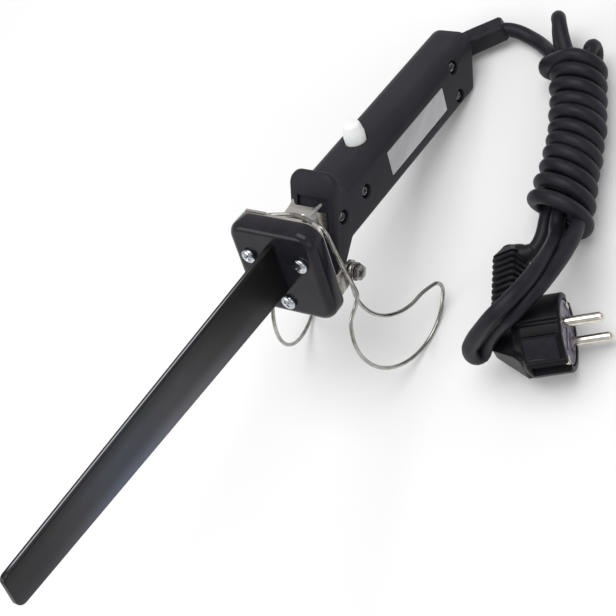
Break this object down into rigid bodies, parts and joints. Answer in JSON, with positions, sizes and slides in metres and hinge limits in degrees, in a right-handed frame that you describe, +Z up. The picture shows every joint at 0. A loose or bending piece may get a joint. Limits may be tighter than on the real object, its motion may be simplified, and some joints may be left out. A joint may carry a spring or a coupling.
{
  "type": "electric knife",
  "caption": "Mains-heated cutting knife with a straight black blade, hand shield, wire rest, push-button handle, and a wrapped lead ending in an angled plug.",
  "frame": {"origin": "on the floor, under the middle of the knife's box, without the lead and plug", "axes": "+X along the knife towards the blade's tip, +Y to the side with the rating plate and the lead, +Z up"},
  "size_m": [0.3556, 0.1712, 0.1961],
  "materials": {
    "blade_black": "satin",
    "heater_mica": "matte",
    "shield_black": "gloss",
    "zinc": "satin",
    "nickel": "satin",
    "bright_wire": "bright",
    "handle_black": "matte",
    "bare_label": "satin",
    "button_white": "gloss",
    "ceramic": "matte",
    "switch_grey": "matte",
    "brass": "satin",
    "rubber": "matte",
    "plug_black": "satin",
    "plug_grey": "satin",
    "lead_brown": "matte",
    "lead_blue": "matte"
  },
  "bodies": {
    "knife": {"blade": "blade_black", "blade_flange": "nickel", "button_spring": "zinc", "ceramic_insulator": "ceramic", "clamp_screw_left": "zinc", "clamp_screw_right": "zinc", "cord_clamp": "nickel", "cord_core": "rubber", "cord_gland": "rubber", "cord_hank": "rubber", "cord_lead": "rubber", "cord_loop": "rubber", "cord_tail": "rubber", "hand_shield": "shield_black", "handle_left_shell": "handle_black", "handle_right_shell": "handle_black", "handle_screw_1": "zinc", "handle_screw_2": "zinc", "handle_screw_3": "zinc", "handle_screw_4": "zinc", "heater_lead_blue": "lead_blue", "heater_lead_brown": "lead_brown", "heating_strip": "heater_mica", "plug_body": "plug_black", "plug_earth_clip_front": "nickel", "plug_earth_clip_rear": "nickel", "plug_face": "plug_grey", "plug_pin_1": "nickel", "plug_pin_2": "nickel", "plug_strain_relief": "plug_black", "rating_plate": "bare_label", "shield_nut_1": "zinc", "shield_nut_2": "zinc", "shield_nut_3": "zinc", "shield_screw_1": "zinc", "shield_screw_2": "zinc", "shield_screw_3": "zinc", "stand_bolt_left": "zinc", "stand_bolt_right": "zinc", "stand_bracket": "nickel", "stand_nut_left": "zinc", "stand_nut_right": "zinc", "stand_washer_left": "zinc", "stand_washer_right": "zinc", "stand_wire": "bright_wire", "supply_lead_blue": "lead_blue", "supply_lead_brown": "lead_brown", "switch_body": "switch_grey", "switch_lead": "lead_brown", "switch_tab_front": "brass", "switch_tab_rear": "brass", "terminal_block": "switch_grey"},
    "button": {"push_button": "button_white"}
  },
  "joints": [
    {"name": "button_press", "type": "slide", "parent": "knife", "child": "button", "axis": [0.4894, 0, -0.8721], "range_m": [0, 0.003], "stiffness_N_per_m": 500, "deforming": ["button_spring"]}
  ]
}
